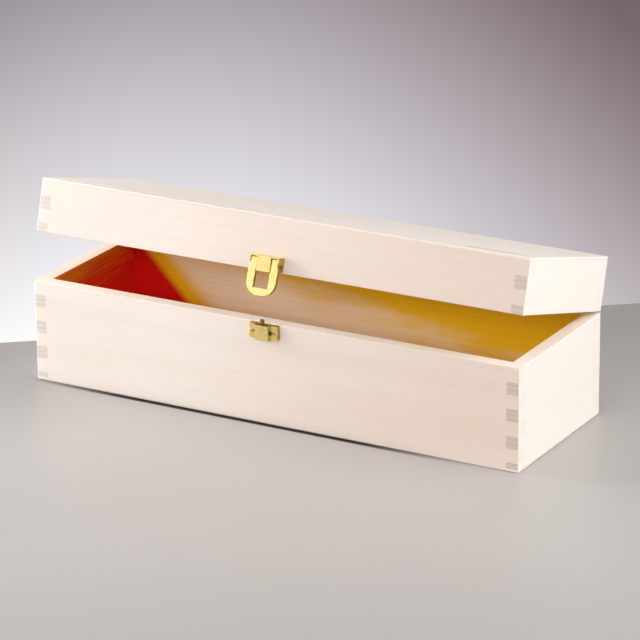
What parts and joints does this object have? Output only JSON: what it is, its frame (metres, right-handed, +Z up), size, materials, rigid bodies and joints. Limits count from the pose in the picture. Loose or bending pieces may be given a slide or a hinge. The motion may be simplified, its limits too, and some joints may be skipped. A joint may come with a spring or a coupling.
{
  "type": "wine box",
  "caption": "Long wooden box with finger jointed corners, a hinged lid standing ajar and a brass loop clasp on the front.",
  "frame": {"origin": "centre of the base's underside, on the surface that the box stands on", "axes": "+X to the right along the front, -Y out of the front with the clasp, +Z up"},
  "size_m": [0.36, 0.1361, 0.1377],
  "materials": {
    "long_board": "raw sanded",
    "end_board": "raw sanded",
    "plywood": "raw sanded",
    "brass_sheet": "bright plated",
    "brass_nail": "plated",
    "spring_steel": "blued brown"
  },
  "bodies": {
    "base": {"base_front_panel": "long_board", "base_back_panel": "long_board", "base_left_end": "end_board", "base_right_end": "end_board", "base_bottom_panel": "plywood", "catch_plate": "brass_sheet", "catch_spring": "spring_steel", "catch_nails": "brass_nail", "hinge_left_base_leaf": "brass_sheet", "hinge_right_base_leaf": "brass_sheet", "hinge_left_pin": "brass_nail", "hinge_right_pin": "brass_nail", "hinge_base_nails": "brass_nail"},
    "lid": {"lid_front_rail": "long_board", "lid_back_rail": "long_board", "lid_left_end": "end_board", "lid_right_end": "end_board", "lid_top_panel": "plywood", "clasp_bracket": "brass_sheet", "bracket_nails": "brass_nail", "hinge_left_lid_leaf": "brass_sheet", "hinge_right_lid_leaf": "brass_sheet", "hinge_lid_nails": "brass_nail"},
    "loop": {"clasp_loop": "brass_sheet"}
  },
  "joints": [
    {"name": "lid_hinge", "type": "hinge", "parent": "base", "child": "lid", "pos_m": [0, 0.061, 0.07015], "axis": [-1, 0, 0], "range_deg": [-16, 164]},
    {"name": "loop_pivot", "type": "hinge", "parent": "lid", "child": "loop", "pos_m": [-0.00175, -0.05743, 0.11207], "axis": [-1, 0, 0], "range_deg": [-5, 85]}
  ]
}
